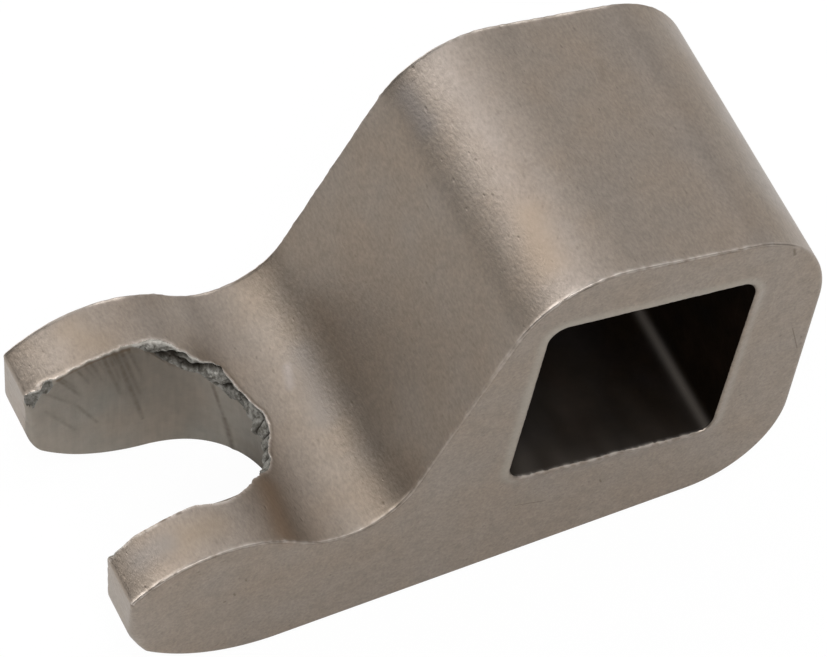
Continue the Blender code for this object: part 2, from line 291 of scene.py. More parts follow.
def burr_at(place, seed):
    """How much burr stands at a place along an edge, from 0 to 1."""
    long_wave = noise.noise(place * 0.7 + Vector((seed, 0, 0)))
    short_wave = noise.noise(place * 3.1 + Vector((0, seed, 0)))
    tooth = noise.noise(place * 7.7 + Vector((0, 0, seed)))
    return max(0.0, min(1.0, 0.45 + 0.7 * long_wave + 0.5 * short_wave + 0.45 * tooth))


def tooth_at(place, seed):
    """Where the crisp edge has a tooth that gets a painted glint, from 0 to 1; the teeth are a third of a millimetre
    long.
    """
    return max(0.0, min(1.0, 0.5 + 1.3 * noise.noise(place * 3.1 + Vector((seed, 0, 0))) + 0.6 * noise.noise(place * 0.9)))


def shape_wall_point(place, normal):
    """Where a point of the raw tube ends up: folded over the nearer edge, with its burr."""
    bearing = degrees(atan2(normal.z, normal.x))
    near = place.y < WIDTH / 2
    q = place.y if near else WIDTH - place.y
    radius = float(np.interp(bearing, EDGE_BEARINGS, NEAR_EDGE if near else FAR_EDGE))
    if near and normal.x < -0.7 and normal.z < 0.1:
        tip = float(np.interp(place.z, *TIP_EDGE))
        radius += (tip - radius) * min(1.0, (-normal.x - 0.7) / 0.2)
    out, depth = fold(q, radius)
    crisp = max(0.0, min(1.0, (0.30 - radius) / 0.20)) if normal.z > 0 else 0.0
    # Painted light along the top faces: painted highlight on crowns and brow, painted shade in the hollow, with some
    # real wear.
    worn = {"rubbed": float(np.interp(place.x, *RUB_ALONG)) * max(0.0, min(1.0, q, normal.z * 4))}
    if crisp > 0 and FOLD_ROWS[1] + 0.05 < q < FOLD_END:
        along = Vector((place.x, 0, place.z))
        burr = crisp * (0.5 * burr_at(along, 3.0 if near else 11.0) + 0.6 * tooth_at(along, 29.0))
        crest = exp(-((q - 0.5) / 0.7) ** 2)
        groove = exp(-((q + 1.1) / 0.45) ** 2)
        out += BURR_HEIGHT * burr * crest
        depth += GROOVE_DEPTH * crisp * groove * burr_at(along, 5.0) - 0.03 * burr * exp(-((q + 0.2) / 0.5) ** 2)
        chip = tooth_at(along, 29.0)
        round_edge = fold(q, radius)[1] + fold(q, radius)[0]
        strength = crisp * float(np.interp(place.x, *BURR_ALONG))
        # Burr crest: partly bare polished steel, partly a painted glint where the edge catches the light.
        worn["bright_burr"] = strength * exp(-((round_edge - 0.05) / (0.09 + 0.06 * chip)) ** 2) * (0.20 + 0.60 * chip)
        # Painted shadow: a thin dark line in the groove under the overhanging burr.
        grooved = crisp * float(np.interp(place.x, *GROOVE_ALONG))
        worn["dark_groove"] = grooved * exp(-((round_edge + 0.125) / 0.035) ** 2) * (0.15 + 0.85 * burr_at(along * 1.3, 5.0))
    wave = 0.012 * noise.noise(Vector((place.x * 0.35, place.y * 0.2, place.z * 0.35)))
    flat = Vector((normal.x, 0, normal.z)).normalized()
    moved = place + flat * (out + wave * min(1.0, max(0.0, q / 3)))
    moved.y = (depth if near else WIDTH - depth) - WIDTH / 2
    return moved, worn


print("edge table:", list(zip(EDGE_BEARINGS, NEAR_EDGE)))

# %% [markdown]
# The fork's slot was punched through from below. Its walls are smooth where the punch sheared them and
# torn where the last of the metal broke away, in a band along the upper rim. The punch is drawn in plan
# with the same pen: two straight sides and a half round between them. Every place along it has a
# bearing from the round's centre, so a few short tables say how far the rim is torn back at each
# bearing and how deep the torn band reaches.

# %% Sizes of the slot and its torn rim
SLOT_RADIUS = 5.655
SLOT_SIDE = 7.045
SLOT_LEAN = 6.0
SLOT_FOOT = Vector((NOSE_X + SLOT_SIDE, 0.0))

RIM_BEARINGS = [-142, -138, -134, -128, -122, -97, -93, -86, -80, -73, -64, -58, -52, -46, -40, -32, -28, -22,
                -12, -6, 0, 5, 10, 15, 20, 26, 32, 36, 40, 44, 48, 54, 60, 64, 68, 75, 79, 84, 90, 93, 95,
                97.5, 99.5, 102, 106, 110, 111.5, 115, 118, 119.5, 123,
                126, 127.5, 129, 131, 132, 133, 135, 139, 142]
RIM_REACH = [0.35, 0.40, 0.22, 0.02, 0.10, 0.00, 0.12, 0.30, 0.36, 0.29, 0.12, -0.05, -0.08, 0.00, 0.10, -0.03, -0.22, -0.20,
             -0.05, 0.05, 0.00, -0.06, -0.22, -0.26, -0.20, -0.14, 0.05, 0.20, 0.34, 0.25, -0.10, -0.08, -0.02, 0.24, 0.40, 0.45, 0.30, 0.10, 0.12, 0.16, 0.00,
             0.13, 0.00, 0.05, -0.03, 0.00, 0.08, -0.03, 0.00, 0.06, -0.04,
             0.02, 0.08, 0.30, 0.36, 0.25, 0.08, 0.26, 0.64, 0.90]
TEAR_BEARINGS = [-142, -136, -128, -72, -62, -52, -45, 0, 12, 17, 23, 28, 32.5, 38, 44, 47, 51, 56, 60.5, 62.5, 67, 71, 74.7, 78, 80.5, 84, 90,
                 127.5, 129, 131, 133, 134.5, 136.5, 139, 142]
TEAR_DEPTH = [0.25, 0.25, 0.0, 0.0, 0.5, 0.9, 1.6, 1.8, 1.9, 2.0, 2.1, 1.88, 2.2, 1.76, 1.75, 1.6, 1.58, 1.83, 1.88, 1.69, 1.62, 1.44, 1.02, 0.75, 0.6, 0.25, 0.0,
              0.0, 0.5, 0.8, 0.4, 0.7, 1.1, 1.8, 2.3]


def slot_centre(z):
    """The slot's centre in plan, which leans back towards the nose as it rises."""
    return SLOT_FOOT.x - (z + BORE_HEIGHT) * tan(radians(SLOT_LEAN))


def rim_reach(bearing):
    return float(np.interp(bearing, RIM_BEARINGS, RIM_REACH))


def tear_depth(bearing):
    return float(np.interp(bearing, TEAR_BEARINGS, TEAR_DEPTH))


def top_height(x):
    """Height of the arm's upper face at x, from the arcs that draw it."""
    if x < NOSE_TOP.x:
        return NOSE_TOP.y + NOSE_TOP_ROUND
    joint_x = (CROWN + CROWN_ROUND * unit(bearing_of(HOLLOW - CROWN))).x
    if x < joint_x:
        return CROWN.y + sqrt(CROWN_ROUND ** 2 - (x - CROWN.x) ** 2)
    return HOLLOW.y - sqrt(max(0.0, HOLLOW_ROUND ** 2 - (x - HOLLOW.x) ** 2))


def under_height(x):
    """Height of the arm's underside at x: flat, and then rising in the relief under the nose."""
    if x > RELIEF.x:
        return -BORE_HEIGHT
    return RELIEF.y - sqrt(max(0.0, RELIEF_ROUND ** 2 - (x - RELIEF.x) ** 2))


def rim_ripple(place):
    """Fine raggedness of the torn rim."""
    return 0.07 * noise.noise(place * 1.9) + 0.05 * noise.noise(place * 5.3)


print("slot centre at the bottom", round(slot_centre(-BORE_HEIGHT), 2), "and at the rim", round(slot_centre(-5.0), 2))

# %% [markdown]
# The punch is the shape that is taken away. Its rows are close together in the torn band, and there its
# points are pushed in and out. Broken steel is a heap of small facets, and Voronoi cells give just
# that: each cell is one grain that stands a little higher or lower than its neighbours and tilts its
# own way. Clefts are listed tracks where a crack opened, and blocks are lumps left standing.
# Lower down only faint drag lines mark the sheared wall.

# %% The punch
ROLL_BEARINGS = [-142, -60, -30, 0, 30, 50, 70, 90, 142]
ROLL_ROUND = [0.10, 0.12, 0.20, 0.26, 0.26, 0.22, 0.14, 0.10, 0.10]
ROLL_HEIGHTS = [-0.06, 0.0, 0.04, 0.09, 0.15, 0.22, 0.31, 0.42, 0.55]
CLEFTS = [
    ([(74.5, 1.05), (70.4, 1.05), (66, 0.85), (62.5, 0.55), (57.4, 0.12)], 0.45, 0.12),
    ([(70.7, 1.25), (66.6, 1.25), (62.4, 1.15), (58, 1.0)], 0.35, 0.20),
    ([(61.8, 1.72), (55.9, 1.32), (50.4, 0.66), (46.4, 0.36), (41.7, 0.20), (39.2, 0.1)], 0.60, 0.13),
    ([(37.9, 1.35), (32.6, 0.95), (27.9, 0.6), (24.3, 0.5)], 0.35, 0.08),
    ([(39.5, 2.0), (33.1, 2.0), (30.6, 1.95)], 0.20, 0.08),
    ([(22.6, 0.7), (20.6, 1.5)], 0.30, 0.08),
    ([(22, 1.75), (22.9, 2.2)], 0.20, 0.06),
    ([(13.5, 1.7), (10, 1.75), (6, 1.4)], 0.30, 0.10),
    ([(2, 0.3), (-1, 1.2)], 0.30, 0.09),
    ([(-8, 0.5), (-10, 1.4)], 0.30, 0.10),
    ([(-16, 0.3), (-19, 1.2)], 0.30, 0.10),
    ([(-26, 0.5), (-30, 1.3)], 0.30, 0.09),
    ([(-38, 0.3), (-42, 1.0)], 0.25, 0.09),
]
BLOCKS = [
    ([(79, 0.30), (70, 0.35), (63, 0.20)], 0.16, 0.30),
    ([(48, 1.05), (42, 0.75), (38, 0.90)], 0.22, 0.40),
    ([(30, 1.35), (27, 1.30)], 0.12, 0.25),
    ([(17, 1.0), (12.8, 1.3)], 0.14, 0.22),
    ([(10, 1.25), (2, 1.2)], 0.36, 0.50),
    ([(0, 1.2), (-12, 1.15), (-26, 1.1), (-40, 1.0)], 0.58, 0.50),
]
DRAG_LINES = [
    (127.0, 118.5, 0.0, 2.9, 0.030, 0.9), (125.5, 119.5, 0.2, 2.0, 0.016, 0.6), (119.0, 113.0, 0.0, 2.3, 0.020, 0.7),
    (115.0, 110.5, 0.0, 1.8, 0.014, 0.6), (111.5, 106.5, 0.0, 2.4, 0.018, 0.7), (107.5, 103.5, 0.0, 1.9, 0.014, 0.6),
    (104.5, 97.5, 0.0, 4.6, 0.030, 1.1), (101.0, 96.5, 0.0, 3.2, 0.024, 0.9), (99.0, 95.5, 0.2, 2.1, 0.018, 0.7),
    (97.0, 88.0, 0.0, 7.2, 0.024, 1.5), (93.5, 86.5, 0.0, 5.2, 0.022, 1.2), (89.5, 83.5, 0.0, 3.4, 0.018, 1.0),
    (132.0, 121.0, 0.6, 3.6, 0.018, 0.9), (121.0, 113.5, 3.6, 6.0, 0.015, 0.9), (133.0, 124.0, 2.2, 5.6, 0.010, 1.0),
    (43.8, 39.5, 1.8, 5.2, 0.036, 1.3), (39.5, 36.3, 4.9, 8.6, 0.034, 2.0),
    (96.0, 88.0, 0.0, 6.5, 0.010, 8.0), (72.0, 62.0, 0.9, 7.0, 0.007, 6.0), (110.0, 100.0, 0.0, 5.0, 0.007, 9.0),
]


def toward_line(bearing, below, track):
    """Distance in millimetres from a place on the slot wall to a track of (bearing, depth) stops."""
    nearest = 9.0
    here = Vector((bearing * SLOT_RADIUS * radians(1), below))
    for start, stop in zip(track, track[1:]):
        a = Vector((start[0] * SLOT_RADIUS * radians(1), start[1]))
        b = Vector((stop[0] * SLOT_RADIUS * radians(1), stop[1]))
        share = max(0.0, min(1.0, (here - a).dot(b - a) / (b - a).length_squared))
        nearest = min(nearest, (a + (b - a) * share - here).length)
    return nearest


def grain_facet(place, size, seed):
    """Height of the broken grain that a place falls on, about -1 to 1."""
    spot = place / size + Vector((seed, seed, seed))
    centre = noise.voronoi(spot)[1][0]
    tilt = noise.noise_vector(centre * 3.7)
    return noise.noise(centre * 2.3) + 1.2 * tilt.dot(spot - centre)


def torn_relief(bearing, below, share, place):
    """How far the broken metal stands back from the smooth lean, and how dark it is painted: dirt and painted shade in
    clefts and recesses.
    """
    fade = min(1.0, share * 5)
    relief = (0.15 * grain_facet(place, 0.75, 2.0) + 0.085 * grain_facet(place, 0.34, 9.0)) * fade
    for track, height, width in BLOCKS:
        relief -= height * exp(-(toward_line(bearing, below, track) / width) ** 2) * fade
    cleft = 0.0
    for track, depth, width in CLEFTS:
        cleft += depth * exp(-(toward_line(bearing, below, track) / (1.25 * width)) ** 2) * fade
    return relief + cleft, cleft / 0.28 + max(0.0, relief) * 3.5


def drag_relief(bearing, below):
    """Depth of the drag lines that the punch left on the sheared wall."""
    relief = 0.0
    for start, stop, top, bottom, depth, width in DRAG_LINES:
        if top <= below <= bottom:
            line = start + (stop - start) * (below - top) / (bottom - top)
            away = (bearing - line) * SLOT_RADIUS * radians(1)
            fade = min(1.0, (bottom - below) * 1.2, (below - top) * 2 + 0.4)
            relief += depth * fade * exp(-(away / (width * 0.10)) ** 2)
    return relief


# %% Build the punch
TEAR_ROWS = 30
SHEAR_ROWS = 30
RIM_CLEAR = 0.25
PUNCH_OVERRUN = 2.0
TIP_PATCH = 126.0
TIP_STAIN = 0.35


def draw_plan(shell):
    """The punch's plan, from past the far nose, round the slot's end and out past the near nose."""
    start = Vector((NOSE_X - PUNCH_OVERRUN, SLOT_RADIUS, 0))
    pen = shell.verts.new(start)
    pen = line_stroke(shell, pen, (SLOT_FOOT.x, SLOT_RADIUS, 0), 0.12)
    pen = spin_stroke(shell, pen, SLOT_FOOT, -180, 0.09, up=(0, 0, 1))
    pen = line_stroke(shell, pen, (start.x, -SLOT_RADIUS, 0), 0.10)
    line_stroke(shell, pen, start, 1.0)
    bmesh.ops.remove_doubles(shell, verts=shell.verts, dist=WELD)


def shape_punch_point(place, out):
    """Where a point of the raw punch ends up; its raw height counts rows from the bottom."""
    if place.x < NOSE_X - PUNCH_OVERRUN + 0.01 and abs(place.y) < SLOT_RADIUS - 0.01:
        out = Vector((-1, 0, 0))
    bearing = degrees(atan2(place.y, place.x - SLOT_FOOT.x))
    row = place.z
    outer = slot_centre(-5.0) + (place.x - SLOT_FOOT.x)
    reach = rim_reach(bearing)
    top = top_height(outer + out.x * reach)
    depth = tear_depth(bearing)
    band = max(depth, 0.35)
    ripple = rim_ripple(Vector((place.x, place.y, 0)) * 1.0)
    low = top - band
    under = under_height(slot_centre(-BORE_HEIGHT) + (place.x - SLOT_FOOT.x))
    rolled = len(ROLL_HEIGHTS)
    if row == 0:
        z = -BORE_HEIGHT - 1.0
    elif row <= rolled:
        z = under + ROLL_HEIGHTS[int(row) - 1]
    elif row <= SHEAR_ROWS:
        z = under + ROLL_HEIGHTS[-1] + (low - under - ROLL_HEIGHTS[-1]) * (row - rolled) / (SHEAR_ROWS - rolled)
    elif row <= SHEAR_ROWS + TEAR_ROWS:
        z = low + (band + RIM_CLEAR) * (row - SHEAR_ROWS) / TEAR_ROWS
    else:
        z = top + RIM_CLEAR + PUNCH_OVERRUN
    below = max(0.0, top - z)
    spot = Vector((place.x, place.y, z))
    drag = drag_relief(bearing, below) if depth < 0.1 or below > depth else 0.0
    roll = float(np.interp(bearing, ROLL_BEARINGS, ROLL_ROUND))
    lack = max(0.0, min(1.0, 1 - (z - under) / roll))
    step = roll * (1 - sqrt(1 - lack ** 2)) + 0.3 * max(0.0, under - z) - drag
    cleft = bright = stain = 0.0
    if row > SHEAR_ROWS:
        share = min(1.0, (row - SHEAR_ROWS) / TEAR_ROWS * (band + RIM_CLEAR) / band)
        step += reach * share ** 0.7
        # Painted glint along the top of the torn band, where the rim catches the light.
        bright = max(0.0, 1 - (1 - share) * band / 0.17)
        if depth > 0.1:
            rough = min(1.0, depth / 0.8)
            z += 0.06 * noise.noise(spot * 2.3) * rough * min(1.0, share * 3) if row < SHEAR_ROWS + TEAR_ROWS - 3 else 0.0
            # The second value is how dark the clefts and recesses are painted: dirt and painted shade.
            relief, cleft = torn_relief(bearing, below, share, spot)
            step += (relief * (1 - 0.75 * share ** 6) + ripple * share) * rough
            cleft = cleft * (1 - share ** 8) + (TIP_STAIN if bearing > TIP_PATCH else 0.0)
        else:
            step += ripple * share * 0.3
            stain = exp(-(((1 - share) * band - 0.25) / 0.08) ** 2) * (0.4 + 0.6 * burr_at(spot, 41.0))
    lean = slot_centre(z) - SLOT_FOOT.x
    if abs(place.y) > SLOT_RADIUS - 0.01:
        mouth = 0.2 if place.y < 0 else float(np.interp(below, [0.5, 5.0], [0.15, 0.8]))
        inside = max(0.0, min(1.0, (place.x + lean - NOSE_X) / mouth))
        step += mouth * (1 - sqrt(1 - (1 - inside) ** 2))
    moved = Vector((place.x + lean, place.y, z)) + Vector((out.x, out.y, 0)) * step
    # Painted light and shade on the slot's wall: lighter or darker by the way each part of it faces.
    rubbed = float(np.interp(bearing, [-90, 0, 40, 52, 60, 75, 90, 142], [1.0, 1.0, 0.8, 0.0, -0.8, -0.8, -0.1, 0.0]))
    keep_mark(moved, torn_cleft=min(1.0, cleft), drag_line=min(1.0, drag / 0.028), bright_burr=bright,
              rubbed=rubbed, rim_stain=stain)
    return moved


def make_object(name, shell):
    mesh = bpy.data.meshes.new(name)
    shell.to_mesh(mesh)
    shell.free()
    solid = bpy.data.objects.new(name, mesh)
    bpy.context.scene.collection.objects.link(solid)
    return solid


def raw_normals(shell):
    """Each point's outward way on the raw tube, read before anything moves."""
    bmesh.ops.recalc_face_normals(shell, faces=shell.faces)
    shell.normal_update()
    return {point: point.normal.copy() for point in shell.verts}


def build_punch():
    shell = bmesh.new()
    draw_plan(shell)
    rows = list(range(SHEAR_ROWS + TEAR_ROWS + 2))
    pull_tube(shell, list(shell.edges), rows, Vector((0, 0, 1)))
    ways = raw_normals(shell)
    middle = Vector((SLOT_FOOT.x, 0, 0))
    sign = 1 if sum((ways[p].x * (p.co.x - middle.x) + ways[p].y * p.co.y) for p in shell.verts) > 0 else -1
    for point in shell.verts:
        flat = Vector((ways[point].x * sign, ways[point].y * sign, 0)).normalized()
        point.co = shape_punch_point(point.co.copy(), flat)
    bmesh.ops.holes_fill(shell, edges=[edge for edge in shell.edges if edge.is_boundary])
    bmesh.ops.recalc_face_normals(shell, faces=shell.faces)
    bmesh.ops.triangulate(shell, faces=[face for face in shell.faces if len(face.verts) > 4])
    return shell


punch_shell = build_punch()
for face in punch_shell.faces:
    middle = face.calc_center_median()
    bearing = degrees(atan2(middle.y, middle.x - slot_centre(middle.z)))
    below = top_height(middle.x) - middle.z
    face.material_index = 3 if below < tear_depth(bearing) and tear_depth(bearing) > 0.15 else 2
print("punch:", len(punch_shell.verts), "points")
punch = make_object("punch", punch_shell)

# %% [markdown]
# Now the finger itself. The outline becomes a tube, its rows near the slot's rim are split finer, and
# every point is folded and roughened. The square hole is a second tube inside it, whose near end is
# folded outwards into the low, worn lip that the broach left. The two side faces then only need filling
# between the outer loop and the hole's loop, which triangle_fill does in one go.

# %% The square hole
CORNER_ROUNDS = [0.95, 1.15, 0.9, 1.0]
LIP_WIDTH = 1.25
LIP_HEIGHT = 0.15
# The corner round at this bearing gets a painted reflection.
RUBBED_CORNER = -54.65
MOUTH_ROWS = [-LIP_WIDTH, -1.05, -0.85, -0.68, -0.53, -0.41, -0.31, -0.23, -0.16, -0.10, -0.04, 0.03, 0.10, 0.18, 0.30, 0.6]


def draw_bore(shell, y):
    """The square hole's section: four walls and four corner rounds, starting at the right wall's top."""
    half = BORE / 2
    step = 0.14
    first = CORNER_ROUNDS[0]
    start = half * unit(-BORE_TILT) + (half - first) * unit(90 - BORE_TILT)
    pen = shell.verts.new((start.x, y, start.y))
    for quarter, radius in enumerate(CORNER_ROUNDS):
        facing = 90 * quarter - BORE_TILT
        centre = (half - radius) * (unit(facing) + unit(facing + 90))
        pen = spin_bore(shell, pen, centre, y, step)
        following = CORNER_ROUNDS[(quarter + 1) % 4]
        end = half * unit(facing + 90) + (half - following) * unit(facing + 180)
        pen = line_stroke(shell, pen, (end.x, y, end.y), step)
    return pen


def spin_bore(shell, point, centre, y, step):
    pivot = Vector((centre.x, y, centre.y))
    steps = max(3, ceil(radians(90) * (point.co - pivot).length / step))
    swept = bmesh.ops.spin(shell, geom=[point], cent=pivot, axis=(0, -1, 0), angle=radians(90), steps=steps)
    return [item for item in swept["geom_last"] if isinstance(item, bmesh.types.BMVert)][0]


def fold_mouth(q, radius):
    """Fold a hole's end over its edge: gives the step away from the hole and the depth."""
    if q >= radius:
        return 0.0, q
    if q <= -radius:
        return -q, 0.0
    angle = radians(45 * (1 - q / radius))
    return radius * (1 - cos(angle)), radius * (1 - sin(angle))


def shape_bore_point(place, out):
    """Fold the hole's tube at both mouths: a raised, uneven lip on the near side, a soft edge behind."""
    q = place.y
    ragged = burr_at(Vector((place.x, 0, place.z)) * 1.3, 17.0)
    chip = tooth_at(Vector((place.x, 0, place.z)), 37.0)
    facing = bearing_of((out.x, out.z)) + BORE_TILT
    top_wall, left_wall, low_wall = (max(0.0, cos(radians(facing - wall))) for wall in (90, 180, 270))
    corner = exp(-((facing - BORE_TILT - RUBBED_CORNER) / 16.0) ** 2)
    if q < WIDTH / 2:
        rounding = 0.12 + 0.24 * top_wall + 0.14 * left_wall
        side, depth = fold_mouth(q, rounding)
        crest = LIP_HEIGHT * (0.8 + 0.3 * ragged) + 0.05 * low_wall * ragged
        profile = exp(-(max(0.0, side - 0.2) / 0.42) ** 2) * (1 - side / LIP_WIDTH)
        y = depth - crest * profile * exp(-depth / 0.12)
        side += 0.05 * low_wall * (ragged - 0.5) * exp(-(q / 0.12) ** 2)
        # Painted glint along the lip's lower edge.
        bright = 0.8 * low_wall ** 4 * (0.25 + 0.75 * chip) * exp(-((q + 0.03) / 0.09) ** 2)
        # Painted light on the lip: a painted highlight on its upper and left slopes, which face the light, and painted
        # shade on its lower slope.
        on_lip = exp(-((side - 0.45) / 0.30) ** 2) * (1 - side / LIP_WIDTH)
        polish = on_lip * (0.9 * top_wall + 0.8 * left_wall + 0.45 * (1 - top_wall - left_wall) * (1 - low_wall))
        rubbed = -1.0 * on_lip * low_wall
    else:
        side, depth = fold_mouth(WIDTH - q, 0.25)
        y = WIDTH - depth
        bright = rubbed = polish = 0.0
    # Painted light in the hole: a painted reflection along one corner round, painted light on the lower wall, stronger
    # to the left and near the mouth, and a little on the left wall.
    if 0.1 < q < WIDTH - 0.1:
        dust = 0.7 + 0.45 * noise.noise(Vector((place.x * 0.9, q * 0.35, place.z * 0.9)))
        shade = max(0.0, 1 - (place.x + BORE / 2) / 9.0)
        rubbed = 0.36 * corner + low_wall * 0.19 * dust * (shade + 0.7 * exp(-q / 2.5)) + 0.05 * left_wall
    moved = Vector((place.x, 0, place.z)) + Vector((out.x, 0, out.z)) * side
    moved.y = y - WIDTH / 2
    keep_mark(moved, bright_burr=bright, rubbed=rubbed, lip_polish=max(0.0, polish))
    return moved


def build_bore(shell):
    before = set(shell.verts)
    draw_bore(shell, MOUTH_ROWS[0])
    fresh = [point for point in shell.verts if point not in before]
    bmesh.ops.remove_doubles(shell, verts=fresh, dist=WELD)
    edges = [edge for edge in shell.edges if edge.verts[0] not in before]
    far_rows = [WIDTH - q for q in (1.0, 0.5, 0.25, 0.12, 0.0, -0.12, -0.25, -0.5)]
    stations = MOUTH_ROWS + [float(v) for v in np.linspace(1.2, WIDTH - 1.6, 14)] + far_rows
    pull_tube(shell, edges, stations, Vector((0, 1, 0)))
    points = [point for point in shell.verts if point not in before]
    faces = list({face for point in points for face in point.link_faces})
    bmesh.ops.recalc_face_normals(shell, faces=faces)
    shell.normal_update()
    ways = {point: point.normal.copy() for point in points}
    sign = 1 if sum(ways[p].x * p.co.x + ways[p].z * p.co.z for p in points) > 0 else -1
    for face in faces:
        face.material_index = 1 if 0.02 < face.calc_center_median().y < WIDTH - 0.05 else 0
    for point in points:
        way = Vector((ways[point].x * sign, 0, ways[point].z * sign)).normalized()
        point.co = shape_bore_point(point.co.copy(), way)
    return points


# %% The finger's body
RIM_BAND = 0.55


def rim_gap(place):
    """Signed distance in plan from a place on the arm's upper face to the slot's rim."""
    across = place.x - slot_centre(place.z)
    bearing = degrees(atan2(place.y, across))
    reach = rim_reach(bearing) + rim_ripple(Vector((across + SLOT_FOOT.x, place.y, 0)))
    if across > 0:
        return hypot(across, place.y) - SLOT_RADIUS - reach
    return abs(place.y) - SLOT_RADIUS - reach


def on_arm_top(point, normal):
    return normal.z > 0.3 and point.x < HOLLOW.x + 2.0


def build_body():
    shell = bmesh.new()
    draw_outline(shell)
    for point in shell.verts:
        point.co.y = FOLD_ROWS[0]
    pull_tube(shell, list(shell.edges), rows_across(WIDTH), Vector((0, 1, 0)))
    ways = raw_normals(shell)
    close = set()
    for edge in shell.edges:
        a, b = edge.verts
        if on_arm_top(a.co, ways[a]):
            middle = (a.co + b.co) / 2
            middle.y -= WIDTH / 2
            if abs(rim_gap(middle)) < RIM_BAND:
                close.add(edge)
    bmesh.ops.subdivide_edges(shell, edges=list(close), cuts=2, use_grid_fill=True)
    edge_rows = [edge for edge in shell.edges if abs(edge.verts[0].co.y - edge.verts[1].co.y) < 1e-6
                 and edge.verts[0].co.y < 1.2 and edge.verts[0].normal.z > 0.1 and edge not in close]
    bmesh.ops.subdivide_edges(shell, edges=edge_rows, cuts=1)
    ways = raw_normals(shell)
    sign = 1 if sum(ways[p].dot(Vector((p.co.x, 0, p.co.z))) for p in shell.verts) > 0 else -1
    for point in shell.verts:
        way = ways[point] * sign
        raw = point.co.copy()
        point.co, worn = shape_wall_point(raw, way)
        if on_arm_top(raw, way):
            gap = rim_gap(point.co)
            lift = 0.055 * exp(-((gap - 0.03) / 0.11) ** 2) - 0.006 * exp(-((gap - 0.3) / 0.2) ** 2)
            lift *= float(np.interp(point.co.y, [-4.5, -2.5], [0.15, 1.0]))
            point.co += Vector((way.x, 0, way.z)).normalized() * lift * (0.5 + burr_at(raw * 1.5, 23.0))
            # Painted glint along the slot's rim.
            rim_bright = exp(-((gap - 0.01) / 0.10) ** 2) * (0.4 + 0.6 * burr_at(raw * 1.5, 23.0))
            worn["bright_burr"] = max(worn.get("bright_burr", 0.0), rim_bright)
        if any(abs(strength) > 0.01 for strength in worn.values()):
            keep_mark(point.co, **worn)
    return shell


def boundary_loop(shell, y):
    """The open edges at one end."""
    return [edge for edge in shell.edges if edge.is_boundary and abs(edge.verts[0].co.y - y) < 0.02]


body = build_body()
build_bore(body)
for side in (-1, 1):
    loops = boundary_loop(body, side * WIDTH / 2)
    filled = bmesh.ops.triangle_fill(body, edges=loops, use_beauty=True, use_dissolve=False, normal=(0, side, 0))
    print("side", side, "fill:", len([item for item in filled["geom"] if isinstance(item, bmesh.types.BMFace)]), "faces")
bmesh.ops.recalc_face_normals(body, faces=body.faces)
print("body:", len(body.verts), "points,", len([e for e in body.edges if not e.is_manifold]), "open edges,",
      "volume", round(body.calc_volume(signed=True), 1), "cubic mm")
finger = make_object("finger_skin", body)

# %% [markdown]
# A Boolean takes the punch out of the body. The new mesh keeps each face's material from the solid that
# it came from, so the slot's walls already know that they are sheared or torn metal. The marks don't
# come through a Boolean, so each point of the new mesh looks for the nearest noted place and takes its
# marks from there. Torn faces stay flat shaded, because a broken grain has no smooth edges.

# %% Punch the slot and put the finger in its place
MARK_REACH = 0.03
TORN = 3


def bake(solid):
    """Replace a mesh by what its modifiers make of it."""
    bpy.context.view_layer.update()
    evaluated = solid.evaluated_get(bpy.context.evaluated_depsgraph_get())
    mesh = bpy.data.meshes.new_from_object(evaluated)
    solid.modifiers.clear()
    old = solid.data
    solid.data = mesh
    bpy.data.meshes.remove(old)
    mesh.name = solid.name


def close_pinholes(solid):
    """Close what the cut left open where two torn grains meet, so that the skin is one closed shell."""
    shell = bmesh.new()
    shell.from_mesh(solid.data)
    open_edges = [edge for edge in shell.edges if edge.is_boundary]
    bmesh.ops.holes_fill(shell, edges=open_edges)
    bmesh.ops.recalc_face_normals(shell, faces=shell.faces)
    left = sum(1 for edge in shell.edges if not edge.is_manifold)
    print("open edges after the cut:", len(open_edges), "and now:", left)
    shell.to_mesh(solid.data)
    shell.free()


def carry_marks(solid):
    """Write the noted marks onto the finished mesh as point attributes."""
    tree = kdtree.KDTree(len(marks))
    for index, (place, _) in enumerate(marks):
        tree.insert(place, index)
    tree.balance()
    found = np.zeros((len(solid.data.vertices), len(MARK_NAMES)), dtype=np.float32)
    for row, point in zip(found, solid.data.vertices):
        _, index, distance = tree.find(point.co)
        if distance < MARK_REACH:
            row[:] = marks[index][1]
    for column, name in enumerate(MARK_NAMES):
        solid.data.attributes.new(name, "FLOAT", "POINT").data.foreach_set("value", np.ascontiguousarray(found[:, column]))
        print(name, "on", int((found[:, column] > 0.1).sum()), "points")


MATERIALS = [bpy.data.materials.new(name) for name in ("blasted_steel", "bore_scale", "sheared_wall", "torn_metal")]
for solid in (finger, punch):
    for material in MATERIALS:
        solid.data.materials.append(material)
cut = finger.modifiers.new("slot", "BOOLEAN")
cut.operation = "DIFFERENCE"
cut.solver = "EXACT"
cut.object = punch
bake(finger)
bpy.data.objects.remove(punch)
close_pinholes(finger)
carry_marks(finger)
finger.data.transform(Matrix.Translation(BORE_CENTRE) @ Matrix.Scale(MILLIMETRE, 4))
finger.data.shade_smooth()
finger.data.set_sharp_from_angle(angle=radians(50))
for polygon in finger.data.polygons:
    if polygon.material_index == TORN:
        polygon.use_smooth = False
triangles = sum(len(polygon.vertices) - 2 for polygon in finger.data.polygons)
print("finger:", triangles, "triangles, materials", sorted({p.material_index for p in finger.data.polygons}))

# %% [markdown]
# The steel has one skin with four finishes: blasted outside, dark scale in the square hole, painted
# near black there as shade, sheared wall and torn metal in the slot. They share their effects, so each
# effect is a shader node group with named inputs and outputs. A small helper makes a group with its
# sockets, and a second one adds a node, sets its values and links it in one line.

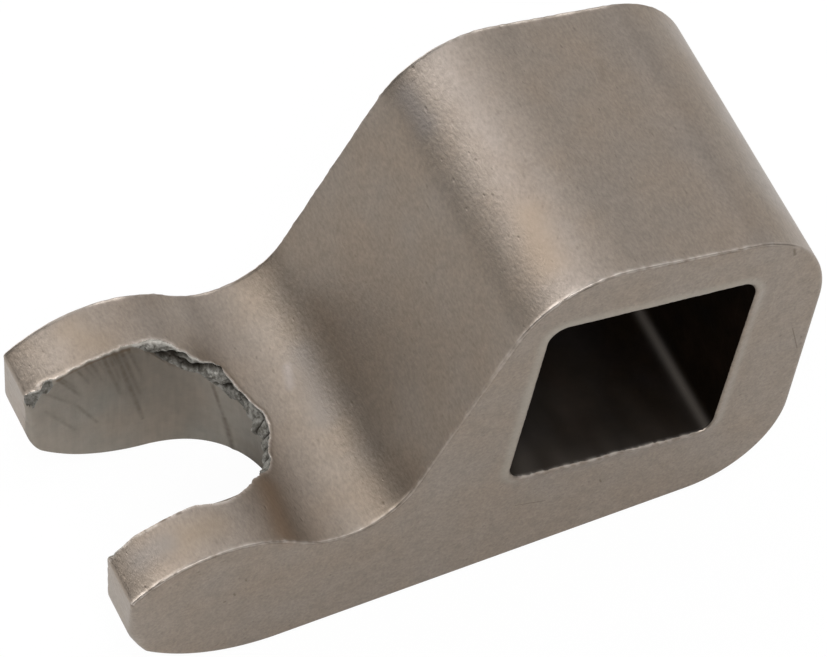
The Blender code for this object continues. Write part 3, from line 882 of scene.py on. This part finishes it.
# %% Helpers for shader nodes
def add(tree, kind, sets=(), links=(), **settings):
    """Add a node, set its input values and link outputs into it."""
    node = tree.nodes.new("ShaderNode" + kind)
    for key, value in settings.items():
        setattr(node, key, value)
    for key, value in dict(sets).items():
        node.inputs[key].default_value = value
    for key, source in dict(links).items():
        tree.links.new(source, node.inputs[key])
    return node


def new_group(name, inputs, outputs):
    """A shader node group with its sockets: inputs as (name, type, value), outputs as (name, type)."""
    group = bpy.data.node_groups.new(name, "ShaderNodeTree")
    for label, kind, value in inputs:
        socket = group.interface.new_socket(label, in_out="INPUT", socket_type="NodeSocket" + kind)
        if value is not None:
            socket.default_value = value
    for label, kind in outputs:
        group.interface.new_socket(label, in_out="OUTPUT", socket_type="NodeSocket" + kind)
    return group, group.nodes.new("NodeGroupInput"), group.nodes.new("NodeGroupOutput")


# %% [markdown]
# Blasting leaves a fine, even grain of tiny dents about a fifth of a millimetre apart, and here and
# there a deeper pit. Noise gives the grain and Voronoi cells give the pits: a random number per cell
# says whether there is one.

# %% Blasted grain
def make_blast_grain():
    group, given, result = new_group(
        "blast_grain",
        [("Position", "Vector", None), ("Grain Scale", "Float", 5.0), ("Pit Scale", "Float", 1.7), ("Pit Share", "Float", 0.2)],
        [("Height", "Float"), ("Speckle", "Float"), ("Pit", "Float")])
    place = given.outputs["Position"]
    fine = add(group, "TexNoise", {"Detail": 2.5, "Roughness": 0.62}, {"Vector": place, "Scale": given.outputs["Grain Scale"]})
    cells = add(group, "TexVoronoi", {"Randomness": 1.0}, {"Vector": place, "Scale": given.outputs["Pit Scale"]})
    picked = add(group, "SeparateColor", {}, {"Color": cells.outputs["Color"]})
    chosen = add(group, "Math", {}, {0: picked.outputs["Red"], 1: given.outputs["Pit Share"]}, operation="LESS_THAN")
    size = add(group, "MapRange", {"From Min": 0.0, "From Max": 1.0, "To Min": 0.10, "To Max": 0.32}, {"Value": picked.outputs["Green"]})
    dent = add(group, "MapRange", {"From Min": 0.0, "To Min": 1.0, "To Max": 0.0},
               {"Value": cells.outputs["Distance"], "From Max": size.outputs["Result"]}, interpolation_type="SMOOTHSTEP")
    pit = add(group, "Math", {}, {0: chosen.outputs[0], 1: dent.outputs["Result"]}, operation="MULTIPLY")
    height = add(group, "Math", {1: -0.8}, {0: pit.outputs[0], 2: fine.outputs["Fac"]}, operation="MULTIPLY_ADD")
    group.links.new(height.outputs[0], result.inputs["Height"])
    group.links.new(fine.outputs["Fac"], result.inputs["Speckle"])
    group.links.new(pit.outputs[0], result.inputs["Pit"])
    return group


# %% [markdown]
# The skin isn't one colour. Storage left a thin bloom on it, a little more golden in some places and a
# little bluer in others, in clouds a few millimetres wide. The group takes the base colour and gives it
# back with those clouds and a finer unevenness.

# %% Oxide bloom
def make_oxide_bloom():
    group, given, result = new_group(
        "oxide_bloom",
        [("Position", "Vector", None), ("Base Color", "Color", (0.2, 0.2, 0.2, 1)), ("Warm Color", "Color", (0.3, 0.2, 0.1, 1)),
         ("Cool Color", "Color", (0.2, 0.2, 0.25, 1)), ("Amount", "Float", 0.5), ("Unevenness", "Float", 0.1)],
        [("Color", "Color"), ("Cloud", "Float")])
    place = given.outputs["Position"]
    cloud = add(group, "TexNoise", {"Scale": 0.24, "Detail": 3.0, "Roughness": 0.5}, {"Vector": place})
    warm = add(group, "MapRange", {"From Min": 0.5, "From Max": 0.68}, {"Value": cloud.outputs["Fac"]})
    cool = add(group, "MapRange", {"From Min": 0.5, "From Max": 0.34}, {"Value": cloud.outputs["Fac"]})
    warm_share = add(group, "Math", {}, {0: warm.outputs["Result"], 1: given.outputs["Amount"]}, operation="MULTIPLY")
    cool_share = add(group, "Math", {}, {0: cool.outputs["Result"], 1: given.outputs["Amount"]}, operation="MULTIPLY")
    warmed = add(group, "MixRGB", {}, {"Fac": warm_share.outputs[0], "Color1": given.outputs["Base Color"], "Color2": given.outputs["Warm Color"]})
    cooled = add(group, "MixRGB", {}, {"Fac": cool_share.outputs[0], "Color1": warmed.outputs["Color"], "Color2": given.outputs["Cool Color"]})
    patch = add(group, "TexNoise", {"Scale": 1.3, "Detail": 4.0, "Roughness": 0.6}, {"Vector": place})
    swing = add(group, "Math", {1: 0.5}, {0: patch.outputs["Fac"]}, operation="SUBTRACT")
    level = add(group, "Math", {2: 1.0}, {0: swing.outputs[0], 1: given.outputs["Unevenness"]}, operation="MULTIPLY_ADD")
    shaded = add(group, "VectorMath", {}, {0: cooled.outputs["Color"]}, operation="SCALE")
    group.links.new(level.outputs[0], shaded.inputs["Scale"])
    group.links.new(shaded.outputs["Vector"], result.inputs["Color"])
    group.links.new(cloud.outputs["Fac"], result.inputs["Cloud"])
    return group


# %% [markdown]
# Scratches and stains are the marks that aren't random. The group measures how far a place is from the
# line between two points, and gives a soft mask along it. A narrow mask is a scratch or a dent, and a
# wide one is a stain where fingers or a rag left more or less of the bloom.

# %% Scratches and dents
def make_fine_scratch():
    group, given, result = new_group(
        "fine_scratch",
        [("Position", "Vector", None), ("Start", "Vector", (0, 0, 0)), ("Stop", "Vector", (1, 0, 0)), ("Width", "Float", 0.1)],
        [("Mask", "Float"), ("Along", "Float")])
    run = add(group, "VectorMath", {}, {0: given.outputs["Stop"], 1: given.outputs["Start"]}, operation="SUBTRACT").outputs["Vector"]
    here = add(group, "VectorMath", {}, {0: given.outputs["Position"], 1: given.outputs["Start"]}, operation="SUBTRACT").outputs["Vector"]
    along = add(group, "VectorMath", {}, {0: here, 1: run}, operation="DOT_PRODUCT").outputs["Value"]
    whole = add(group, "VectorMath", {}, {0: run, 1: run}, operation="DOT_PRODUCT").outputs["Value"]
    share = add(group, "Math", {}, {0: along, 1: whole}, operation="DIVIDE", use_clamp=True).outputs[0]
    nearest = add(group, "VectorMath", {}, {0: run, "Scale": share}, operation="SCALE").outputs["Vector"]
    away = add(group, "VectorMath", {}, {0: here, 1: nearest}, operation="DISTANCE").outputs["Value"]
    mask = add(group, "MapRange", {"From Min": 0.0, "To Min": 1.0, "To Max": 0.0},
               {"Value": away, "From Max": given.outputs["Width"]}, interpolation_type="SMOOTHSTEP")
    group.links.new(mask.outputs["Result"], result.inputs["Mask"])
    group.links.new(share, result.inputs["Along"])
    return group


SCRATCHES = [
    ((18.57, -9.13, 19.80), (18.64, -9.13, 19.30), 0.16),
    ((19.04, -9.13, 12.28), (19.47, -9.13, 10.22), 0.06),
    ((19.66, -9.13, 11.17), (19.68, -9.13, 11.10), 0.09),
    ((2.41, -9.13, 4.55), (4.28, -9.13, 3.97), 0.05),
    ((-14.68, -9.13, 5.76), (-14.62, -9.13, 5.60), 0.11),
    ((-15.28, -9.13, 5.33), (-15.20, -9.13, 5.30), 0.10),
    ((-13.97, -9.13, 6.71), (-13.95, -9.13, 6.60), 0.08),
    ((-8.88, -9.13, 4.24), (-8.84, -9.13, 4.22), 0.09),
    ((7.66, -9.13, 4.06), (7.72, -9.13, 3.85), 0.10),
    ((-16.95, -9.10, 10.18), (-16.70, -9.10, 10.24), 0.17),
    ((-19.25, -9.10, 9.32), (-18.95, -9.10, 9.45), 0.16),
    ((-18.2, -9.08, 9.66), (-18.1, -9.08, 9.70), 0.12),
    ((-16.62, -5.72, 10.05), (-16.42, -5.72, 10.08), 0.16),
    ((-17.60, -5.70, 9.88), (-17.30, -5.70, 9.92), 0.10),
]
STAINS = [
    ((-5.45, 2.6, 8.2), (-5.95, -1.4, 7.9), 1.6, (0.205, 0.182, 0.164), 0.65),
    ((-6.39, 2.5, 7.7), (-6.74, 1.3, 7.6), 0.5, (0.335, 0.302, 0.290), 0.40),
    ((-10.9, -5.1, 8.6), (-11.4, -8.4, 9.0), 1.3, (0.270, 0.175, 0.105), 0.45),
    ((-11.75, 1.6, 9.1), (-11.6, 1.1, 9.0), 0.5, (0.285, 0.190, 0.120), 0.50),
    ((-17.14, 8.1, 9.95), (-16.0, 6.4, 10.1), 1.6, (0.290, 0.222, 0.155), 0.35),
    ((-16.9, -7.4, 10.0), (-15.0, -7.2, 10.1), 1.6, (0.290, 0.222, 0.155), 0.45),
    ((-19.4, -7.1, 9.1), (-17.9, -7.1, 9.7), 1.4, (0.235, 0.212, 0.195), 0.60),
    ((5.2, -3.3, 22.8), (4.8, -6.5, 22.7), 1.8, (0.315, 0.243, 0.178), 0.60),
    ((2.9, 7.9, 21.4), (3.0, 5.5, 21.5), 1.3, (0.215, 0.195, 0.185), 0.55),
    ((13.61, 5.4, 21.9), (13.13, 4.1, 22.0), 0.35, (0.205, 0.165, 0.130), 0.45),
]
BLAST_GRAIN = make_blast_grain()
OXIDE_BLOOM = make_oxide_bloom()
FINE_SCRATCH = make_fine_scratch()
print("groups:", [group.name for group in bpy.data.node_groups])

# %% [markdown]
# Each finish starts the same way: Object coordinates turned into millimetres, the bloom for colour and
# the grain for a fine bump. The marks then lighten or darken it: painted glints on burrs, painted
# shadow in the grooves under them, dirt and painted shade in clefts, drag lines, and painted light and
# shade by place and facing. The ground colours are real ones: metal's base colour is what it reflects.

# %% Common parts of a finish
def group_node(tree, group, sets, links):
    node = tree.nodes.new("ShaderNodeGroup")
    node.node_tree = group
    for key, value in sets.items():
        node.inputs[key].default_value = value
    for key, source in links.items():
        tree.links.new(source, node.inputs[key])
    return node


def mark(tree, name):
    return add(tree, "Attribute", attribute_name=name).outputs["Fac"]


def tint(tree, share, ground, colour, strength=1.0):
    """Mix from a ground colour, plain or already mixed, towards another where a mark is strong."""
    weight = add(tree, "Math", {1: strength}, {0: share}, operation="MULTIPLY", use_clamp=True)
    mixed = add(tree, "MixRGB", {"Color2": (*colour, 1)}, {"Fac": weight.outputs[0]})
    if isinstance(ground, tuple):
        mixed.inputs["Color1"].default_value = (*ground, 1)
    else:
        tree.links.new(ground, mixed.inputs["Color1"])
    return mixed.outputs["Color"]


def start_finish(material, roughness, metallic, stretch=(1.0, 1.0, 1.0)):
    """The material's shader and its place in millimetres."""
    material.use_nodes = True
    tree = material.node_tree
    shader = tree.nodes["Principled BSDF"]
    shader.inputs["Roughness"].default_value = roughness
    shader.inputs["Metallic"].default_value = metallic
    object_place = add(tree, "TexCoord").outputs["Object"]
    scale = [1000.0 * value for value in stretch]
    place = add(tree, "Mapping", {"Scale": scale}, {"Vector": object_place}).outputs["Vector"]
    return tree, shader, place


def bump(tree, shader, height, distance):
    node = add(tree, "Bump", {"Strength": 1.0, "Distance": distance * MILLIMETRE}, {"Height": height})
    tree.links.new(node.outputs["Normal"], shader.inputs["Normal"])
    return node


# %% The four finishes
def finish_blasted_steel(material):
    tree, shader, place = start_finish(material, 0.42, 0.85)
    # Painted light: lighter and cooler where the mark is positive, darker and warmer where it is negative; on the top
    # faces partly real wear.
    rubbed = mark(tree, "rubbed")
    colour = tint(tree, rubbed, (0.256, 0.2125, 0.173), (0.304, 0.260, 0.226))
    colour = tint(tree, rubbed, colour, (0.203, 0.165, 0.129), -1.0)
    bloom = group_node(tree, OXIDE_BLOOM, {"Warm Color": (0.286, 0.215, 0.155, 1), "Cool Color": (0.240, 0.214, 0.192, 1),
                                           "Amount": 0.22, "Unevenness": 0.24}, {"Position": place, "Base Color": colour})
    drawn = add(tree, "Mapping", {"Scale": (1.0, 0.5, 1.0)}, {"Vector": place}).outputs["Vector"]
    grain = group_node(tree, BLAST_GRAIN, {"Grain Scale": 6.0, "Pit Scale": 2.2, "Pit Share": 0.45}, {"Position": drawn})
    speckle = add(tree, "MapRange", {"From Min": 0.3, "From Max": 0.7, "To Min": 0.88, "To Max": 1.12}, {"Value": grain.outputs["Speckle"]})
    speckled = add(tree, "VectorMath", {}, {0: bloom.outputs["Color"], "Scale": speckle.outputs["Result"]}, operation="SCALE")
    across = add(tree, "Math", {}, {0: add(tree, "SeparateXYZ", {}, {"Vector": place}).outputs["Y"]}, operation="ABSOLUTE")
    on_side = add(tree, "MapRange", {"From Min": 8.98, "From Max": 9.06}, {"Value": across.outputs[0]})
    mottle = add(tree, "TexNoise", {"Scale": 1.1, "Detail": 5.0, "Roughness": 0.75}, {"Vector": place})
    swing = add(tree, "MapRange", {"From Min": 0.25, "From Max": 0.75, "To Min": -0.15, "To Max": 0.07}, {"Value": mottle.outputs["Fac"]})
    sawn = add(tree, "Math", {2: 1.0}, {0: on_side.outputs["Result"], 1: swing.outputs["Result"]}, operation="MULTIPLY_ADD")
    mottled = add(tree, "VectorMath", {}, {0: speckled.outputs["Vector"], "Scale": sawn.outputs[0]}, operation="SCALE")
    colour = tint(tree, grain.outputs["Pit"], mottled.outputs["Vector"], (0.10, 0.075, 0.055), 0.25)
    for start, stop, width, stain, strength in STAINS:
        patch = group_node(tree, FINE_SCRATCH, {"Start": start, "Stop": stop, "Width": width}, {"Position": place})
        colour = tint(tree, patch.outputs["Mask"], colour, stain, strength)
    # Painted shadow under the burrs.
    colour = tint(tree, mark(tree, "dark_groove"), colour, (0.045, 0.035, 0.028), 0.8)
    # Painted highlight on the lip round the square hole.
    colour = tint(tree, mark(tree, "lip_polish"), colour, (0.345, 0.322, 0.280), 0.9)
    # Painted glint on the burrs and rims.
    colour = tint(tree, mark(tree, "bright_burr"), colour, (0.60, 0.54, 0.49), 0.9)
    for start, stop, width in SCRATCHES:
        scratch = group_node(tree, FINE_SCRATCH, {"Start": start, "Stop": stop, "Width": width}, {"Position": place})
        colour = tint(tree, scratch.outputs["Mask"], colour, (0.09, 0.068, 0.045), 0.65)
    tree.links.new(colour, shader.inputs["Base Color"])
    rough = add(tree, "MapRange", {"From Min": 0.3, "From Max": 0.7, "To Min": 0.39, "To Max": 0.45}, {"Value": bloom.outputs["Cloud"]})
    tree.links.new(rough.outputs["Result"], shader.inputs["Roughness"])
    bump(tree, shader, grain.outputs["Height"], 0.015)


def finish_bore_scale(material):
    tree, shader, place = start_finish(material, 0.6, 0.0)
    # Painted shade: a base colour near black and almost no specular, darker than the scale itself, stand for the shade
    # inside the hole.
    shader.inputs["Specular IOR Level"].default_value = 0.02
    bloom = group_node(tree, OXIDE_BLOOM, {"Base Color": (0.005, 0.003, 0.0015, 1), "Warm Color": (0.009, 0.005, 0.003, 1),
                                           "Cool Color": (0.004, 0.003, 0.003, 1), "Amount": 0.7, "Unevenness": 1.2}, {"Position": place})
    grain = group_node(tree, BLAST_GRAIN, {"Grain Scale": 3.0}, {"Position": place})
    # Painted reflection and painted light inside the hole, from the mark.
    colour = tint(tree, mark(tree, "rubbed"), bloom.outputs["Color"], (0.15, 0.132, 0.116))
    # Painted glint on the hole's lower edge.
    colour = tint(tree, mark(tree, "bright_burr"), colour, (0.53, 0.48, 0.43), 0.9)
    tree.links.new(colour, shader.inputs["Base Color"])
    bump(tree, shader, grain.outputs["Height"], 0.02)


WIDEST_STAIN = 3.0


def wall_place(bearing, below):
    """The place on the slot's wall at a bearing and a depth under the rim, in the frame's millimetres."""
    way = unit(bearing)
    flat = way * SLOT_RADIUS / (abs(way.y) if way.x < 0 else 1.0)
    z = top_height(slot_centre(-5.0) + flat.x) - below
    return Vector((slot_centre(z) + flat.x, flat.y, z)) + BORE_CENTRE / MILLIMETRE


def drag_stain(tree, place):
    """The brown that settled in the drag lines, as one mask that thins out here and there."""
    stain = None
    for start, stop, top, bottom, depth, width in DRAG_LINES:
        if width > WIDEST_STAIN:
            continue
        ends = {"Start": wall_place(start, top), "Stop": wall_place(stop, bottom), "Width": 0.10 + 0.09 * width}
        line = group_node(tree, FINE_SCRATCH, ends, {"Position": place})
        run_out = 0.6 if bottom < 5.5 else 0.0
        strength = min(0.7, 0.18 + 14 * depth)
        fade = add(tree, "MapRange", {"From Min": 0.25, "From Max": 1.0, "To Min": strength, "To Max": strength * (1 - run_out) ** 2},
                   {"Value": line.outputs["Along"]})
        line = add(tree, "Math", {}, {0: line.outputs["Mask"], 1: fade.outputs["Result"]}, operation="MULTIPLY").outputs[0]
        stain = line if stain is None else add(tree, "Math", {}, {0: stain, 1: line}, operation="MAXIMUM").outputs[0]
    cloud = add(tree, "TexNoise", {"Scale": 2.0, "Detail": 3.0, "Roughness": 0.6}, {"Vector": place})
    left = add(tree, "MapRange", {"From Min": 0.36, "From Max": 0.62, "To Min": 0.15, "To Max": 1.0}, {"Value": cloud.outputs["Fac"]})
    return add(tree, "Math", {}, {0: stain, 1: left.outputs["Result"]}, operation="MULTIPLY").outputs[0]


def finish_sheared_wall(material):
    tree, shader, place = start_finish(material, 0.5, 0.5)
    # Painted light and shade: the wall lighter where the mark is positive and darker where it is negative.
    ground = tint(tree, mark(tree, "rubbed"), (0.240, 0.210, 0.174), (0.288, 0.262, 0.224))
    ground = tint(tree, mark(tree, "rubbed"), ground, (0.192, 0.168, 0.138), -1.0)
    bloom = group_node(tree, OXIDE_BLOOM, {"Warm Color": (0.248, 0.202, 0.158, 1), "Cool Color": (0.228, 0.216, 0.188, 1),
                                           "Amount": 0.5, "Unevenness": 0.35}, {"Position": place, "Base Color": ground})
    grain = group_node(tree, BLAST_GRAIN, {"Grain Scale": 6.0, "Pit Share": 0.08}, {"Position": place})
    drawn = add(tree, "Mapping", {"Scale": (2.6, 2.6, 0.3), "Rotation": (0.0, radians(-SLOT_LEAN), 0.0)}, {"Vector": place})
    streak = add(tree, "TexNoise", {"Scale": 1.0, "Detail": 3.0, "Roughness": 0.6}, {"Vector": drawn.outputs["Vector"]})
    level = add(tree, "MapRange", {"From Min": 0.3, "From Max": 0.7, "To Min": 0.93, "To Max": 1.07}, {"Value": streak.outputs["Fac"]})
    streaked = add(tree, "VectorMath", {}, {0: bloom.outputs["Color"], "Scale": level.outputs["Result"]}, operation="SCALE")
    colour = tint(tree, mark(tree, "drag_line"), streaked.outputs["Vector"], (0.120, 0.098, 0.074), 0.35)
    colour = tint(tree, drag_stain(tree, place), colour, (0.100, 0.076, 0.050))
    colour = tint(tree, mark(tree, "rim_stain"), colour, (0.135, 0.085, 0.050), 0.8)
    # Painted glint along the rim.
    colour = tint(tree, mark(tree, "bright_burr"), colour, (0.66, 0.62, 0.56), 0.8)
    tree.links.new(colour, shader.inputs["Base Color"])
    height = add(tree, "Math", {1: 0.8}, {0: streak.outputs["Fac"], 2: grain.outputs["Height"]}, operation="MULTIPLY_ADD")
    bump(tree, shader, height.outputs[0], 0.010)


def finish_torn_metal(material):
    tree, shader, place = start_finish(material, 0.6, 0.4)
    grain = group_node(tree, BLAST_GRAIN, {"Grain Scale": 6.0, "Pit Scale": 4.0, "Pit Share": 0.12}, {"Position": place})
    crumb = add(tree, "TexNoise", {"Scale": 3.4, "Detail": 4.0, "Roughness": 0.65}, {"Vector": place})
    light = add(tree, "MapRange", {"From Min": 0.40, "From Max": 0.60}, {"Value": crumb.outputs["Fac"]})
    metal = add(tree, "MixRGB", {"Color1": (0.12, 0.112, 0.094, 1), "Color2": (0.33, 0.32, 0.292, 1)}, {"Fac": light.outputs["Result"]})
    colour = tint(tree, grain.outputs["Pit"], metal.outputs["Color"], (0.05, 0.042, 0.034), 0.8)
    # Dirt and painted shade in the clefts and recesses of the torn band.
    colour = tint(tree, mark(tree, "torn_cleft"), colour, (0.026, 0.020, 0.013), 1.0)
    # Painted glint along the torn rim.
    colour = tint(tree, mark(tree, "bright_burr"), colour, (0.68, 0.65, 0.60), 0.95)
    tree.links.new(colour, shader.inputs["Base Color"])
    bump(tree, shader, grain.outputs["Height"], 0.03)


for material, finish in zip(MATERIALS, (finish_blasted_steel, finish_bore_scale, finish_sheared_wall, finish_torn_metal)):
    finish(material)
    print(material.name, "has", len(material.node_tree.nodes), "nodes")

# %% [markdown]
# The finger lies on a white table. To the camera the table glows at a strength of one, which is plain
# white, with a little of the real surface mixed in, so that the finger's shadow stays on it. The
# finger's own reflections see the table as the lamps light it.

# %% Floor
FLOOR_SIZE = 1.5
FLOOR_GLOW = 0.97

floor_shell = bmesh.new()
bmesh.ops.create_grid(floor_shell, x_segments=1, y_segments=1, size=FLOOR_SIZE)
floor = make_object("floor", floor_shell)
floor_material = bpy.data.materials.new("white_table")
floor_material.use_nodes = True
tree = floor_material.node_tree
shader = tree.nodes["Principled BSDF"]
shader.inputs["Base Color"].default_value = (0.9, 0.9, 0.9, 1)
shader.inputs["Roughness"].default_value = 0.9
glow = add(tree, "Emission", {"Color": (1, 1, 1, 1), "Strength": 1.0})
paths = add(tree, "LightPath")
glow_share = add(tree, "Math", {1: FLOOR_GLOW}, {0: paths.outputs["Is Camera Ray"]}, operation="MULTIPLY")
blend = add(tree, "MixShader", {}, {"Fac": glow_share.outputs[0]})
tree.links.new(shader.outputs["BSDF"], blend.inputs[1])
tree.links.new(glow.outputs["Emission"], blend.inputs[2])
tree.links.new(blend.outputs["Shader"], tree.nodes["Material Output"].inputs["Surface"])
floor.data.materials.append(floor_material)

# %% [markdown]
# The light is a ring of wide, soft lamps. A softbox high in front lights the table and the near side, and
# two behind on the left draw the highlights along the brow and the crown. Each lamp is given by the
# azimuth and elevation that it shines from and by its strength. Together they light a level surface
# at about the plain level, where a white card comes out white.

# %% Lamps
LAMPS = {
    "front_high": (256, 58, 2.25, 32),
    "right_high": (0, 58, 1.10, 32),
    "back_high": (90, 58, 0.42, 32),
    "back_right": (60, 32, 0.34, 32),
    "back_left": (120, 32, 0.82, 32),
    "back_low": (120, 8, 0.83, 32),
    "right_low": (30, 8, 0.26, 32),
    "brow_light": (121, 52, 0.13, 18),
}

world = bpy.data.worlds.new("dark_room")
bpy.context.scene.world = world
world.use_nodes = True
world.node_tree.nodes["Background"].inputs["Strength"].default_value = 0.0
for lamp_name, (azimuth, elevation, strength, spread) in LAMPS.items():
    lamp_data = bpy.data.lights.new(lamp_name, "SUN")
    lamp_data.angle = radians(spread)
    lamp_data.energy = strength
    lamp = bpy.data.objects.new(lamp_name, lamp_data)
    bpy.context.scene.collection.objects.link(lamp)
    toward = Vector((*(unit(azimuth) * cos(radians(elevation))), sin(radians(elevation))))
    lamp.rotation_euler = toward.to_track_quat("Z", "Y").to_euler()
level = sum(strength * sin(radians(elevation)) for _, elevation, strength, _ in LAMPS.values()) / radians(180)
print("a white card lying level would have the brightness", round(level, 2))

bpy.context.scene.view_settings.view_transform = "Standard"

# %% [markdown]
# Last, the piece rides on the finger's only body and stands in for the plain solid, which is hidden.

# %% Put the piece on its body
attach(finger, "root")
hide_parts("release_finger")
